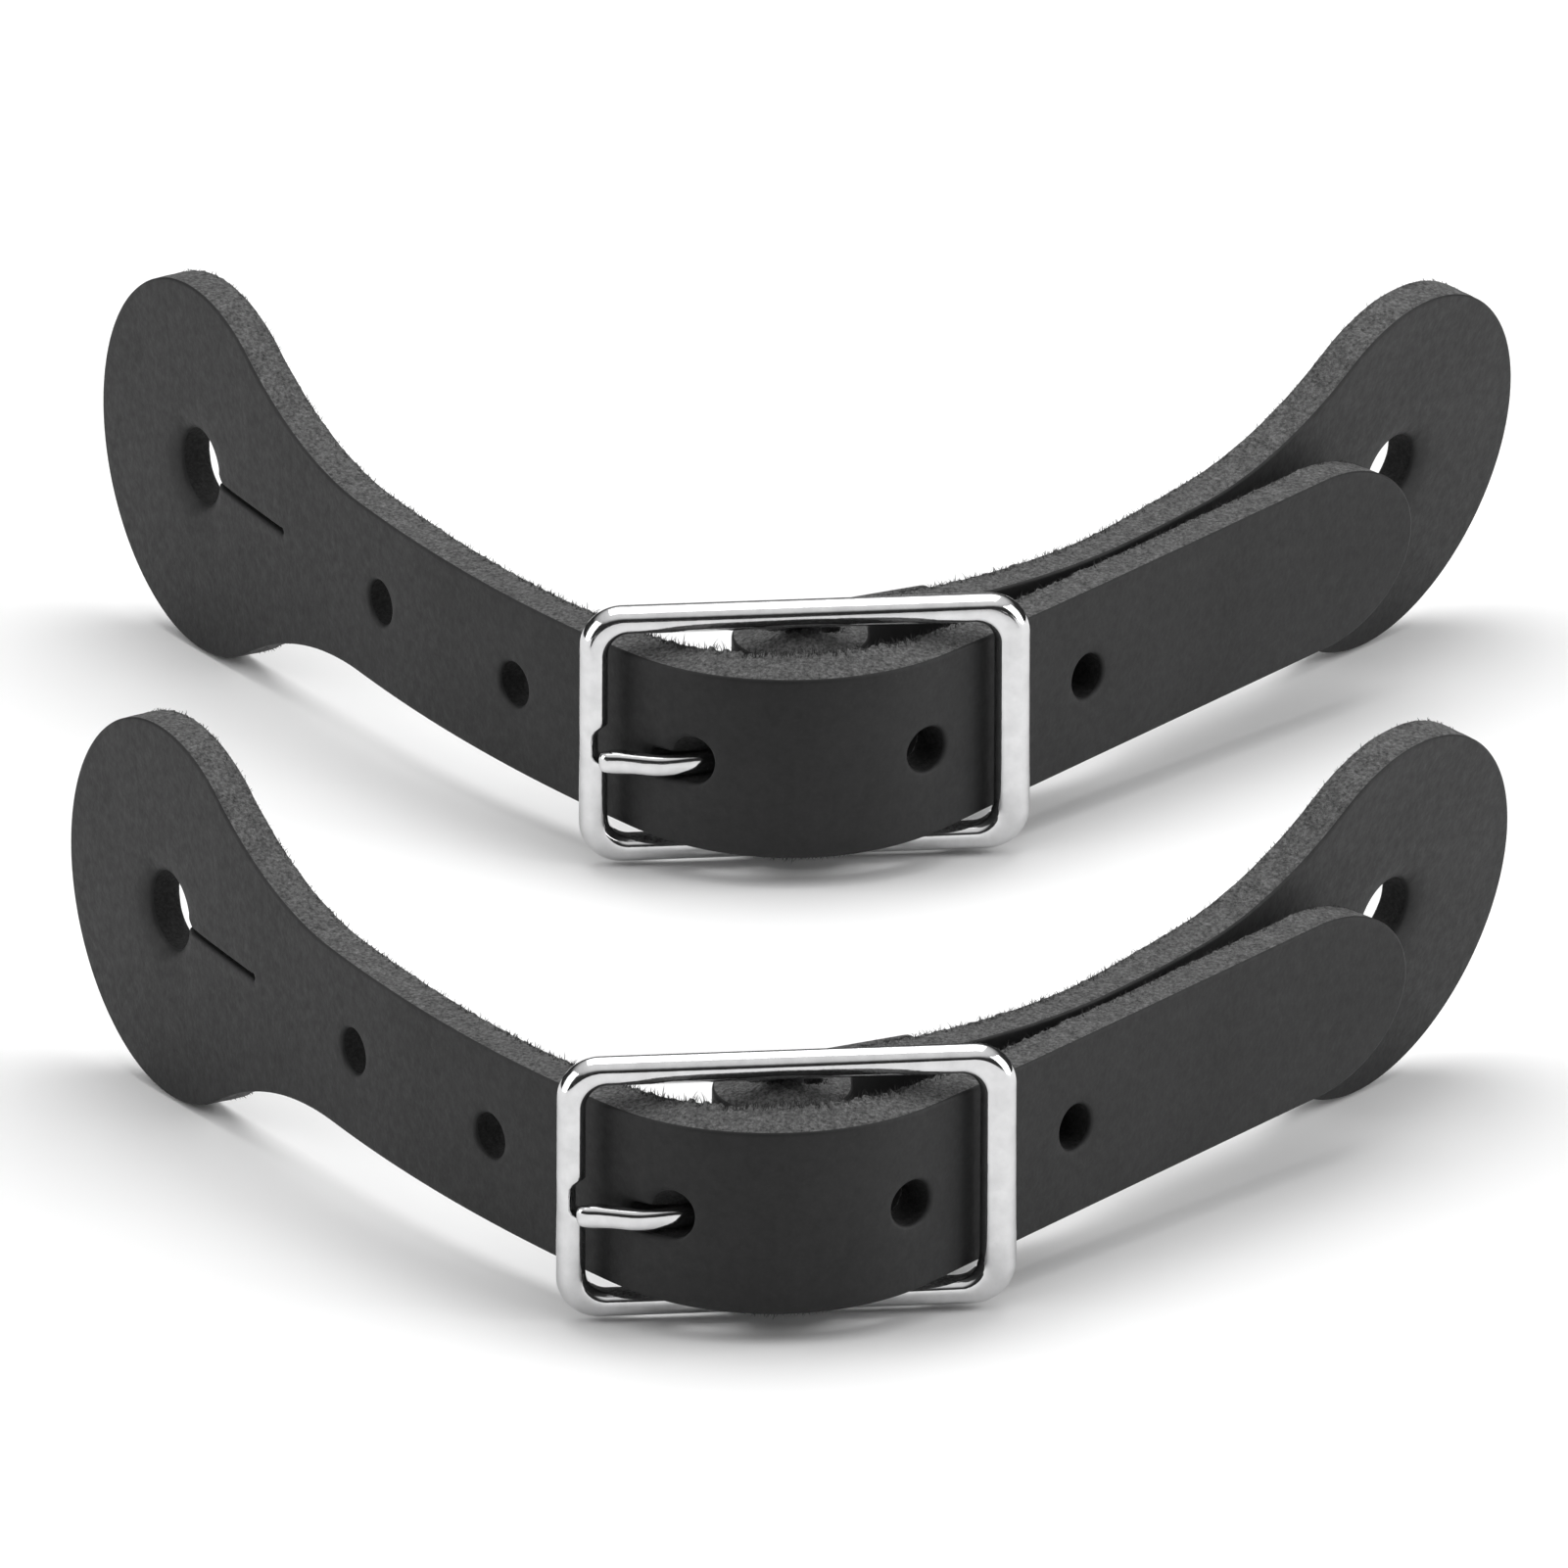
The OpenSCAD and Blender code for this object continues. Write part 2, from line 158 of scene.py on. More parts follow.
# Lengths that follow from the sizes above
NEUTRAL_R = BOW_R - LEATHER_T / 2     # the bow's radius along the middle of the leather
NECK_L = math.sqrt((FLARE_R + NECK_R) ** 2 - (NECK_R + STRAP_W / 2) ** 2)
NECK_A = math.asin(NECK_L / (FLARE_R + NECK_R))
FLARE_BOW_L = NEUTRAL_R * math.radians(BOW_FLARE_TURN)
TIP_BOW_L = NEUTRAL_R * math.radians(BOW_TIP_TURN)
BUTTON_L = 2.5 * PITCH + BUTTON_REACH
LONG_BEND_L = BUTTON_L - NECK_L - NECK_LEAD - FLARE_BOW_L
LONG_BEND_R = LONG_BEND_L / math.radians(LONG_TURN) + LEATHER_T / 2
SPARE = 6.0                           # line past a strap's end, for the smoothing to use
LONG_SMOOTH, SHORT_SMOOTH = 1.5, 0.7

peak = (BOW_X, BOW_PEAK, 0.0, LEATHER_T)
tip_rows = run_table(peak, [(BOW_R * math.radians(BOW_TIP_TURN), BOW_TIP_TURN, LEATHER_T),
                            (BILLET_L - TIP_BOW_L + SPARE, 0, LEATHER_T)])
flare_rows = run_table(peak, [(BOW_R * math.radians(BOW_FLARE_TURN), BOW_FLARE_TURN, LEATHER_T),
                              (LONG_BEND_R * math.radians(LONG_TURN), LONG_TURN, LEATHER_T),
                              (NECK_LEAD + NECK_L + FLARE_R + SPARE, 0, LEATHER_T)])
long_line = Line(np.vstack([mirrored(flare_rows, BOW_X), tip_rows]), LONG_SMOOTH)

turn_back_x = math.sqrt((LOOP_R + TURN_BACK_R) ** 2 - (NECK_N - TURN_BACK_R) ** 2)
turn_back = math.degrees(math.asin(turn_back_x / (LOOP_R + TURN_BACK_R)))
fold = (LOOP_X, LOOP_Y - LOOP_R, 0.0, FOLD_T)
main_rows = run_table(fold, [
    (LOOP_R * math.radians(NECK_TURN + turn_back), NECK_TURN + turn_back, MAIN_FOLD_T),
    (TURN_BACK_R * math.radians(turn_back), -turn_back, LEATHER_T),
    (SHORT_NECK_L, 0, LEATHER_T),
    (SHORT_BEND_R * math.radians(SHORT_BEND), SHORT_BEND, LEATHER_T),
    (RUN_ON_L, RUN_ON_TURN, LEATHER_T),
    (NECK_L + FLARE_R + SPARE, 0, LEATHER_T)])
s_neck = main_rows[-1, 0] - (NECK_L + FLARE_R + SPARE)
s_twist = s_neck - RUN_ON_L + LEATHER_T / 2 * math.radians(RUN_ON_TURN)
flap_turn = 180 - NECK_TURN - FLAP_FOLD_TURN
fold_rows = mirrored(run_table(fold, [
    (LOOP_R * math.radians(FLAP_FOLD_TURN), FLAP_FOLD_TURN, FLAP_FOLD_T),
    (LOOP_R * math.radians(flap_turn), flap_turn, SKIVED_T)]), LOOP_X)
s_fold = -fold_rows[0, 0]             # length of the fold from its front to the start of the flap


def at_fold(x, n):
    """The place x along the flap from the bar and n away from the bar's axis."""
    a = math.radians(NECK_TURN)
    return LOOP_X + x * math.cos(a) - n * math.sin(a), LOOP_Y + x * math.sin(a) + n * math.cos(a)


def flap_grain(x):
    """How far the flap's grain face is from the bar's axis, x along the flap."""
    return LOOP_R - (LOOP_R - NECK_N - SEAT) * x / FLAP_L


flap_rows = []
for k in range(int(FLAP_L / TABLE_STEP) + 1):
    fx = k * TABLE_STEP
    grain_n = flap_grain(fx)
    flesh_n = LOOP_R - SKIVED_T + FLAP_GAP * fx / FLAP_L
    px, py = at_fold(fx, grain_n)
    flap_rows.append((-s_fold - fx, px, py, math.radians(NECK_TURN - 180), grain_n - flesh_n))
short_line = Line(np.vstack([np.array(flap_rows)[::-1], fold_rows, main_rows]), SHORT_SMOOTH)
NEAR_FOLD = 40                        # the rivet is within this length of the fold's front
neck_cos, neck_sin = math.cos(math.radians(NECK_TURN)), math.sin(math.radians(NECK_TURN))
s_rivet = main_rows[0, 0]
for row in main_rows:                 # the last place before the main layer passes the rivet
    along = (row[1] - LOOP_X) * neck_cos + (row[2] - LOOP_Y) * neck_sin
    if along < turn_back_x + RIVET_X and row[0] < NEAR_FOLD:
        s_rivet = row[0]
s_rivet_flap = -s_fold - (turn_back_x + RIVET_X)


TWIST_EASE = 3                        # how far past each end of the run the twist is spread


def twist_at(s):
    """The short strap's twist, which grows along the run to its flare."""
    f = np.clip((s - s_twist + TWIST_EASE) / (s_neck - s_twist + 2 * TWIST_EASE), 0, 1)
    return math.radians(FLARE_TWIST) * f * f * (3 - 2 * f)


# ---- Outlines on the flat leather: s along, z across ----

def resample(points, step):
    """A closed loop of points, evenly spaced, with corners softened by the spacing."""
    p = np.array(points + [points[0]], float)
    d = np.concatenate([[0], np.cumsum(np.linalg.norm(np.diff(p, axis=0), axis=1))])
    n = max(8, int(round(d[-1] / step)))
    t = np.linspace(0, d[-1], n, endpoint=False)
    return np.column_stack([np.interp(t, d, p[:, 0]), np.interp(t, d, p[:, 1])])


def arc(cx, cz, r, a0, a1, n=40):
    return [(cx + r * math.cos(math.radians(a0 + (a1 - a0) * k / n)),
             cz + r * math.sin(math.radians(a0 + (a1 - a0) * k / n))) for k in range(n + 1)]


def flare_edge():
    """Upper edge from the neck to the middle of the round end, x from the neck."""
    a = math.degrees(NECK_A)
    return arc(0, NECK_R + STRAP_W / 2, NECK_R, -90, a - 90) + arc(NECK_L, 0, FLARE_R, 90 + a, 0, 80)[1:]


def long_outline():
    left = [(-(BUTTON_L - NECK_L) - x, z) for x, z in flare_edge()]
    low = [(x, -z) for x, z in left]
    tip = [(BILLET_L - TIP_L + TIP_L * math.cos(math.radians(a)), STRAP_W / 2 * math.sin(math.radians(a)))
           for a in np.linspace(-90, 90, 60)]
    return resample(low[::-1][1:] + tip + left, EDGE_STEP)


def short_outline():
    right = [(s_neck + x, z) for x, z in flare_edge()]
    low = [(x, -z) for x, z in right]
    end = -s_fold - FLAP_L
    h = STRAP_W / 2
    corner = 1.0
    return resample(right[:-1][::-1] + arc(end + corner, h - corner, corner, 90, 180, 6)
                    + arc(end + corner, corner - h, corner, 180, 270, 6) + low, EDGE_STEP)


def round_loop(s, r):
    """A round hole in the middle of the strap."""
    return resample(arc(s, 0, r, 0, 360, 60)[:-1], 0.3)


def key_loop(s, towards):
    """The button hole with its slit, which runs towards +s or -s."""
    half = SLIT_W / 2
    a = math.degrees(math.asin(half / BUTTON_R))
    end_r = 0.36                      # the slit ends in a slightly wider round
    x_end = SLIT_L - end_r
    slit = [BUTTON_R + 0.6 * k for k in range(1, 24)]
    pts = (arc(0, 0, BUTTON_R, a, 360 - a, 90) + [(x, -half) for x in slit]
           + arc(x_end, 0, end_r, -130, 130, 14) + [(x, half) for x in slit[::-1]])
    return resample([(s + towards * x, z) for x, z in pts], 0.28)


def slot_loop(s0, s1, z0, z1, r):
    """A rectangle with rounded corners."""
    return resample(arc(s1 - r, z1 - r, r, 0, 90, 8) + arc(s0 + r, z1 - r, r, 90, 180, 8)
                    + arc(s0 + r, z0 + r, r, 180, 270, 8) + arc(s1 - r, z0 + r, r, 270, 360, 8), 0.4)


def inside(points, loop):
    """Which of the points lie inside a closed loop."""
    x, y = points[:, 0][:, None], points[:, 1][:, None]
    x0, y0 = loop[:, 0][None], loop[:, 1][None]
    x1, y1 = np.roll(loop[:, 0], -1)[None], np.roll(loop[:, 1], -1)[None]
    cross = ((y0 > y) != (y1 > y))
    with np.errstate(divide="ignore", invalid="ignore"):
        hit = x < (x1 - x0) * (y - y0) / (y1 - y0) + x0
    return (cross & hit).sum(axis=1) % 2 == 1


def nearest(points, loop):
    """Distance to a loop's nearest point, and which point it is."""
    best = np.full(len(points), 1e9)
    which = np.zeros(len(points), int)
    for start in range(0, len(points), 2000):
        block = points[start:start + 2000]
        d = np.hypot(block[:, 0][:, None] - loop[:, 0][None], block[:, 1][:, None] - loop[:, 1][None])
        which[start:start + 2000] = d.argmin(axis=1)
        best[start:start + 2000] = d.min(axis=1)
    return best, which


def loop_normals(loop, hole):
    """Unit normals that point into the leather."""
    d = np.roll(loop, -1, axis=0) - np.roll(loop, 1, axis=0)
    n = np.column_stack([-d[:, 1], d[:, 0]])
    n /= np.linalg.norm(n, axis=1)[:, None] + 1e-12
    area = 0.5 * np.sum(loop[:, 0] * np.roll(loop[:, 1], -1) - np.roll(loop[:, 0], -1) * loop[:, 1])
    n = n if area > 0 else -n         # now towards the inside of the loop
    return -n if hole else n


def rounded(x, w, depth):
    """How far a rounded lip of width w is below the face, at distance x from the cut."""
    f = np.clip(1 - x / np.maximum(w, 1e-6), 0, 1)
    return depth * (1 - np.sqrt(np.clip(1 - f * f, 0, 1)))


def finished(bm, name, sharp):
    """The mesh of what was built, shaded smooth except at edges sharper than an angle in degrees."""
    mesh = bpy.data.meshes.new(name)
    bm.to_mesh(mesh)
    bm.free()
    mesh.shade_smooth()
    mesh.set_sharp_from_angle(angle=math.radians(sharp))
    return mesh


WALL_ROWS = 7        # rows of faces down a cut edge
EDGE_LIP = 0.34, 0.22                 # width and depth of the lip on the grain side of the outer edge
FLESH_LIP = 0.3, 0.22                 # the same on the flesh side of every cut
WIDE_LIP = 0.6                        # lips wider than this get more rings of points
NARROW_RINGS = 0.06, 0.16, 0.3, 0.42  # distances of the rings of points from a cut
WIDE_RINGS = 0.08, 0.2, 0.36, 0.58, 0.9, 1.3, 1.9, 2.6
# Roughness of the outer edge and of a hole: sway of the flesh side's corner, and lumps on the wall
EDGE_SWAY, HOLE_SWAY = 0.05, 0.03
EDGE_LUMPS, HOLE_LUMPS = 0.075, 0.04
HOLE_FRAYED = 0.15
GRAIN_SLOT, EDGE_SLOT, FLESH_SLOT, HOLE_SLOT, FIBRE_SLOT = range(5)


def flat_triangles(outline, loops, normals):
    """Points on the flat leather, with the cuts' own points first, and the triangles that join them."""
    boundary = np.vstack([loop for loop, *_ in loops])
    extra = []
    for k, (loop, w, _) in enumerate(loops):
        wide = float(np.max(w))
        for off in NARROW_RINGS if wide < WIDE_LIP else WIDE_RINGS:
            if off > wide * 1.7:
                continue
            ring = loop + normals[k] * off
            extra.append((ring[:: 1 if off < 0.5 else 2], off))
    lo, hi = outline.min(axis=0), outline.max(axis=0)
    gx, gz = np.meshgrid(np.arange(lo[0], hi[0], GRID), np.arange(lo[1] + 0.4, hi[1], GRID * 0.9))
    gx[1::2] += GRID / 2
    grid = np.column_stack([gx.ravel(), gz.ravel()])
    keep = []
    for pts, off in extra + [(grid, 0.75)]:
        ok = inside(pts, outline)
        for k, (loop, *_) in enumerate(loops):
            if k:
                ok &= ~inside(pts, loop)
            d, _ = nearest(pts, loop)
            ok &= d > off * 0.93
        keep.append(pts[ok])
    pts = np.vstack([boundary, np.vstack(keep)])
    edges = []
    base = 0
    for loop, *_ in loops:
        n = len(loop)
        edges += [(base + i, base + (i + 1) % n) for i in range(n)]
        base += n
    _, _, faces, orig, _, _ = geometry.delaunay_2d_cdt([Vector(p) for p in pts], edges, [], 0, 1e-6)
    back = [o[0] if o else -1 for o in orig]
    tri = np.array([[back[i] for i in f] for f in faces])
    tri = tri[(tri >= 0).all(axis=1)]
    mid = pts[tri].mean(axis=1)
    ok = inside(mid, outline)
    for loop, *_ in loops[1:]:
        ok &= ~inside(mid, loop)
    return pts, tri[ok]


FIBRE_TRIES = 5                       # fibres that may grow at each point of the edge
FIBRE_SIDES, FIBRE_JOINTS = 3, 3


def raise_fibres(bm, outline, normals, frayed, thickness, where, rng):
    """Short tapered fibres that stand out of the corner between the outer edge and the flesh side."""
    for i in range(len(outline)):
        f = frayed(outline[i][0])
        for _ in range(FIBRE_TRIES):
            if rng.random() > 0.12 + 0.75 * f:
                continue
            s, z = outline[i] + np.array([rng.uniform(-0.2, 0.2), 0.0])
            nrm = -normals[i]
            length = rng.uniform(0.15, 0.45) + f * rng.uniform(0.1, 0.75) * rng.random()
            d0 = thickness[i] - rng.uniform(0.0, 0.5) * (1 + f)
            lean_s, lean_d = rng.uniform(-0.9, 0.9), rng.uniform(-0.1, 1.1)
            r0 = rng.uniform(0.035, 0.075)
            path = []
            for q in range(FIBRE_JOINTS + 1):
                u = q / FIBRE_JOINTS
                reach = length * u
                bend = lean_s * length * u * u
                path.append((s - 0.1 * nrm[0] + nrm[0] * reach * 0.8 - nrm[1] * bend,
                             z - 0.1 * nrm[1] + nrm[1] * reach * 0.8 + nrm[0] * bend,
                             d0 + lean_d * length * u * 0.7))
            flat = []
            for q, (ps, pz, pd) in enumerate(path[:-1]):
                r = r0 * (1 - 0.25 * q)
                for m in range(FIBRE_SIDES):
                    a = math.tau * m / FIBRE_SIDES
                    flat.append((ps + r * math.cos(a) * abs(nrm[1]) + r * math.sin(a) * 0.3,
                                 pz + r * math.cos(a) * abs(nrm[0]), pd + r * math.sin(a)))
            flat = np.array(flat + [path[-1]])
            made = [bm.verts.new(v) for v in where(flat[:, 0], flat[:, 1], flat[:, 2])]
            rings = [made[FIBRE_SIDES * q:FIBRE_SIDES * (q + 1)] for q in range(FIBRE_JOINTS)]
            new = [bm.faces.new(rings[0][::-1])]
            for ra, rb in zip(rings, rings[1:]):
                for m in range(FIBRE_SIDES):
                    j = (m + 1) % FIBRE_SIDES
                    new.append(bm.faces.new((ra[m], ra[j], rb[j], rb[m])))
            for m in range(FIBRE_SIDES):
                new.append(bm.faces.new((rings[-1][m], rings[-1][(m + 1) % FIBRE_SIDES], made[-1])))
            for face in new:
                face.material_index = FIBRE_SLOT


def leather_mesh(name, outline, holes, where, frayed, seed):
    """A strap cut to an outline with holes, with soft lips, rough cut edges and frayed flesh corners.

    holes: (loop, lip width, lip depth); width and depth may be arrays along the loop.
    where(s, z, d): where points at depth d under the grain face are, from millimetres to metres.
    frayed(s): how ragged the flesh side's corner is at s, from 0 to 1.
    """
    loops = [(outline, np.full(len(outline), EDGE_LIP[0]), np.full(len(outline), EDGE_LIP[1]))]
    for loop, w, depth in holes:
        loops.append((loop, np.broadcast_to(w, len(loop)), np.broadcast_to(depth, len(loop))))
    normals = [loop_normals(loop, k > 0) for k, (loop, *_) in enumerate(loops)]

    pts, tri = flat_triangles(outline, loops, normals)

    # depths of the grain face and of the flesh face, at every point
    grain = np.zeros(len(pts))
    flesh = np.zeros(len(pts))
    for loop, w, depth in loops:
        d, j = nearest(pts, loop)
        grain = np.maximum(grain, rounded(d, w[j], depth[j]))
        flesh = np.maximum(flesh, rounded(d, *FLESH_LIP))
    grain = grain + where.sunk(pts[:, 0], pts[:, 1])
    t = where.thickness(pts[:, 0])
    rng = random.Random(seed)
    shift = Vector((rng.uniform(0, 50), rng.uniform(0, 50), rng.uniform(0, 50)))

    def lumps(x, y, z):
        return noise.noise(Vector((x, y, z)) + shift)

    low = np.array([lumps(p[0] * 0.5, p[1] * 0.5, 3.0) for p in pts]) * 0.09
    flesh_depth = t - flesh + low * 0.6

    bm = bmesh.new()
    top = [bm.verts.new(v) for v in where(pts[:, 0], pts[:, 1], grain)]

    # how far the flesh side's corner is pushed out and down along each cut
    out = np.zeros((len(pts), 2))
    rag_d = np.zeros(len(pts))
    base = 0
    for k, (loop, *_) in enumerate(loops):
        n = len(loop)
        sway = HOLE_SWAY if k else EDGE_SWAY
        for i in range(n):
            s, z = loop[i]
            f = HOLE_FRAYED if k else frayed(s)
            a = lumps(s * 0.9, z * 0.9, 11.0)
            b = lumps(s * 2.6, z * 2.6, 21.0)
            c = lumps(s * 1.7, z * 1.7, 41.0)
            out[base + i] = -normals[k][i] * (sway * a + (0.07 + 0.30 * f) * b * 0.8)
            rag_d[base + i] = (0.06 + 0.42 * f) * max(-0.3, c + 0.1)
        base += n
    spread = pts + out
    bottom_depth = flesh_depth + rag_d
    bottom = [bm.verts.new(v) for v in where(spread[:, 0], spread[:, 1], bottom_depth)]
    for a, b, c in tri:
        bm.faces.new((top[a], top[b], top[c])).material_index = GRAIN_SLOT
        bm.faces.new((bottom[c], bottom[b], bottom[a])).material_index = FLESH_SLOT

    # the walls of the cuts, rough between their two edges
    base = 0
    for k, (loop, *_) in enumerate(loops):
        n = len(loop)
        index = HOLE_SLOT if k else EDGE_SLOT
        rows = [[top[base + i] for i in range(n)]]
        for r in range(1, WALL_ROWS):
            f = r / WALL_ROWS
            ids = np.arange(base, base + n)
            wob = np.array([lumps(p[0] * 1.1, p[1] * 1.1, r * 1.3) * 0.6
                            + lumps(p[0] * 3.1, p[1] * 3.1, r * 2.3) * 0.5
                            for p in pts[ids]]) * (HOLE_LUMPS if k else EDGE_LUMPS)
            side = pts[ids] - normals[k] * (wob + 0.02)[:, None] * min(1, 2.5 * f) + out[ids] * f * f
            depth = grain[ids] * (1 - f) + bottom_depth[ids] * f
            rows.append([bm.verts.new(v) for v in where(side[:, 0], side[:, 1], depth)])
        rows.append([bottom[base + i] for i in range(n)])
        for ra, rb in zip(rows, rows[1:]):
            for i in range(n):
                j = (i + 1) % n
                bm.faces.new((ra[i], ra[j], rb[j], rb[i])).material_index = index
        base += n
    bmesh.ops.recalc_face_normals(bm, faces=bm.faces)

    raise_fibres(bm, outline, normals[0], frayed, t, where, rng)
    return finished(bm, name, 55)


class Place:
    """Where a point of a strap lies: s along, z across, d under the grain face.

    twist(s) turns it about the strap's top edge, sunk(s, z) lowers the grain face and pull(s, z, d) drags it.
    """

    def __init__(self, line, twist=None, sunk=None, pull=None):
        self.line, self.twist, self.pull = line, twist, pull
        self.sunk = sunk or (lambda s, z: np.zeros(len(s)))

    def thickness(self, s):
        return self.line.at(s)[3]

    def __call__(self, s, z, d):
        if self.pull:
            s, z = self.pull(s, z, d)
        x, y, h, _ = self.line.at(s)
        if self.twist:
            a = self.twist(s)
            top = STRAP_W / 2
            d, z = d * np.cos(a) - (z - top) * np.sin(a), top + d * np.sin(a) + (z - top) * np.cos(a)
        return [Vector(v) * MM for v in np.column_stack([x - d * np.sin(h), y + d * np.cos(h), z])]


# The tongue's hole: round, drawn long towards the flare, and dragged over on the flesh side
HOLE_S, HOLE_Z, SLOT_END, SLOT_LOW, SLOT_HIGH = -11.8, 0.3, -17.0, -2.75, 0.38
SLOT_MID_Z = -0.6
DRAG, DRAG_REACH = 3.4, 5.0           # how far the flesh side is dragged, and how far that is felt
SQUEEZE, SQUEEZE_REACH = 0.4, 2.0     # the same for closing in on the tongue
# The long strap's top and bottom edges over the buckle: spread at the grain face, and its reach along s
TOP_SPREAD, TOP_SPREAD_REACH = 0.55, 22.0
LOW_SPREAD, LOW_SPREAD_REACH = 0.25, 17.0
DEEP_SPREAD = 1.5                     # what the flesh side adds
# The short strap's edges inside its fold
TOP_CROWD, LOW_CROWD, CROWD_REACH = 1.9, 0.7, 9.0


def tongue_hole():
    """The hole's loop: a round end and a squarer, lower end towards the flare."""
    corner = 1.2
    low = [(HOLE_S - 0.2 + (HOLE_R + 0.2) * math.sin(math.radians(a)),
            HOLE_Z - (HOLE_Z - SLOT_LOW) * math.cos(math.radians(a))) for a in range(0, 90, 4)]
    return resample(arc(HOLE_S, HOLE_Z, HOLE_R, 0, 176)
                    + arc(SLOT_END + corner, SLOT_HIGH - corner, corner, 90, 180, 8)
                    + arc(SLOT_END + corner, SLOT_LOW + corner, corner, 180, 270, 8) + low, 0.3)


def pull(s, z, d):
    """Long strap: dragged round the tongue's hole, and spread across where it is bent over the buckle."""
    away = np.hypot(s - np.clip(s, SLOT_END + 1.5, HOLE_S), z - SLOT_MID_Z)
    deep = np.clip(d / LEATHER_T, 0, 1.2)
    near = deep * np.exp(-(np.clip(away - HOLE_R, 0, None) / DRAG_REACH) ** 2)
    squeeze = SQUEEZE * deep * np.exp(-(np.clip(away - HOLE_R, 0, None) / SQUEEZE_REACH) ** 2)
    reach = np.where(z > 0, TOP_SPREAD_REACH, LOW_SPREAD_REACH)
    most = np.where(z > 0, TOP_SPREAD, LOW_SPREAD) + DEEP_SPREAD * deep
    spread = most * np.exp(-(s / reach) ** 2) * (z / (STRAP_W / 2)) ** 3
    return s + DRAG * near, z - squeeze * (z - TONGUE_Z) + spread


def crowd(s, z, d):
    """Short strap: the leather crowded inside the fold rises across the strap."""
    deep = np.clip(d / FOLD_T, 0, 1)
    most = np.where(z > 0, TOP_CROWD, LOW_CROWD)
    rise = most * deep * np.exp(-(s / CROWD_REACH) ** 2) * np.abs(z / (STRAP_W / 2)) ** 4
    return s, z + np.sign(z) * rise


def key_lips(loop, s):
    """Wide deep lips round the hole and narrow ones along its slit."""
    r = np.hypot(loop[:, 0] - s, loop[:, 1])
    f = ease(np.clip((r - BUTTON_R - 0.1) / 1.6, 0, 1))
    return DISH_W + 0.5 - (DISH_W + 0.1) * f, DISH_H + (0.3 - DISH_H) * f


def button_dish(centre):
    """The pressed hollow round a button hole."""
    def sunk(s, z):
        r = np.hypot(s - centre, z) - BUTTON_R
        return 0.16 * np.exp(-np.clip(r, 0, None) ** 2 / 9.0)
    return sunk


def short_sunk(s, z):
    """How far the short strap's grain face is lowered: its button dish, and under the rivet's cap."""
    cut = button_dish(s_neck + NECK_L)(s, z)
    flap = s < -s_fold
    if flap.any():
        fx = -s_fold - s
        grain_n = flap_grain(fx)
        r = np.hypot(s - s_rivet_flap, z)
        f = np.clip((HEAD_R + 0.7 - r) / 0.6, 0, 1)
        cut = cut + np.where(flap, np.clip(grain_n - NECK_N - SEAT, 0, None) * f, 0)
    return cut


long_button = -BUTTON_L
key = key_loop(long_button, 1)
kw, kd = key_lips(key, long_button)
long_holes = [(key, kw, kd), (tongue_hole(), 0.55, 0.5)]
punched = (-2.5 * PITCH, -1.5 * PITCH, PITCH / 2, 1.5 * PITCH)
long_holes += [(round_loop(s, HOLE_R), 0.55, 0.45) for s in punched]
long_place = Place(long_line, sunk=button_dish(long_button), pull=pull)
LONG_SEED, SHORT_SEED = 7, 19


def long_frayed(s):
    """Most ragged over the buckle, with a little more towards the billet's end."""
    return 0.3 + 0.7 * math.exp(-((s + 5) / 50) ** 2) + 0.1 * math.exp(-((s - 70) / 16) ** 2)


def short_frayed(s):
    """Most ragged in the middle of the bend."""
    return 0.2 + 0.8 * math.exp(-((s - 34) / 30) ** 2)


long_mesh = leather_mesh("long_strap", long_outline(), long_holes, long_place, long_frayed, LONG_SEED)

short_button = s_neck + NECK_L
key = key_loop(short_button, -1)
kw, kd = key_lips(key, short_button)
WINDOW_GAP = 0.8                      # room over and under the tongue
window = slot_loop(-8.9, 5.0, TONGUE_Z - TONGUE_W / 2 - WINDOW_GAP, TONGUE_Z + TONGUE_W / 2 + WINDOW_GAP, 0.8)
short_holes = [(key, kw, kd), (window, 0.3, 0.25),
               (round_loop(s_rivet, RIVET_R + 0.04), 0.2, 0.12),
               (round_loop(s_rivet_flap, RIVET_R + 0.04), 0.1, 0.05)]
short_place = Place(short_line, twist_at, short_sunk, crowd)
short_mesh = leather_mesh("short_strap", short_outline(), short_holes, short_place, short_frayed, SHORT_SEED)


# ---- Metal ----

def solid(name, rings, closed_along=False):
    """Joins rings of equal length into one closed skin, capped at its ends if it has any."""
    bm = bmesh.new()
    made = [[bm.verts.new(Vector(v) * MM) for v in ring] for ring in rings]
    pairs = list(zip(made, made[1:])) + ([(made[-1], made[0])] if closed_along else [])
    for ra, rb in pairs:
        n = len(ra)
        for i in range(n):
            j = (i + 1) % n
            bm.faces.new((ra[i], ra[j], rb[j], rb[i]))
    if not closed_along:
        bm.faces.new(made[0][::-1])
        bm.faces.new(made[-1])
    bmesh.ops.recalc_face_normals(bm, faces=bm.faces)
    return finished(bm, name, 60)


